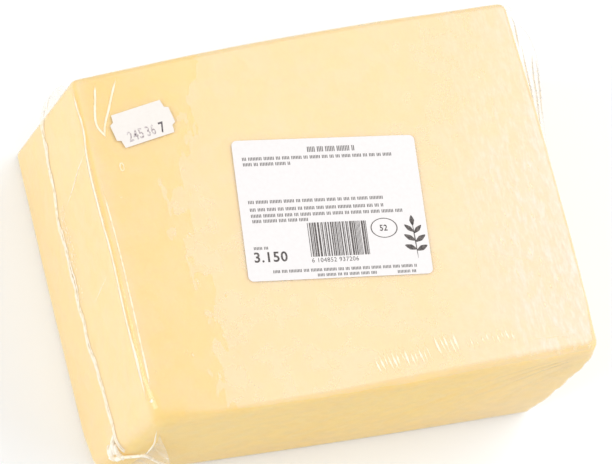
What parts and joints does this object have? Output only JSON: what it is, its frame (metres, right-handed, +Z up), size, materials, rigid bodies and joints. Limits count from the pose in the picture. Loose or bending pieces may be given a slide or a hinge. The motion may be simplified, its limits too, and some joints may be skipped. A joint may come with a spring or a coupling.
{
  "type": "cheese block",
  "caption": "Rectangular block of pale cheese sealed in a clear shrink bag, with a large paper product label and a small price label on its top face.",
  "frame": {"origin": "centre of the bounding box, on the floor that the block rests on", "axes": "+X along the long side, +Y away from the seen front, +Z up through the labelled top"},
  "size_m": [0.1962, 0.1508, 0.0896],
  "materials": {
    "wrapped_cheese": "pale yellow cheese under clear glossy shrink film",
    "product_paper": "smooth white label paper",
    "price_paper": "matt off-white label paper"
  },
  "bodies": {
    "root": {"bagged_block": "wrapped_cheese", "product_label": "product_paper", "price_label": "price_paper"}
  },
  "joints": []
}
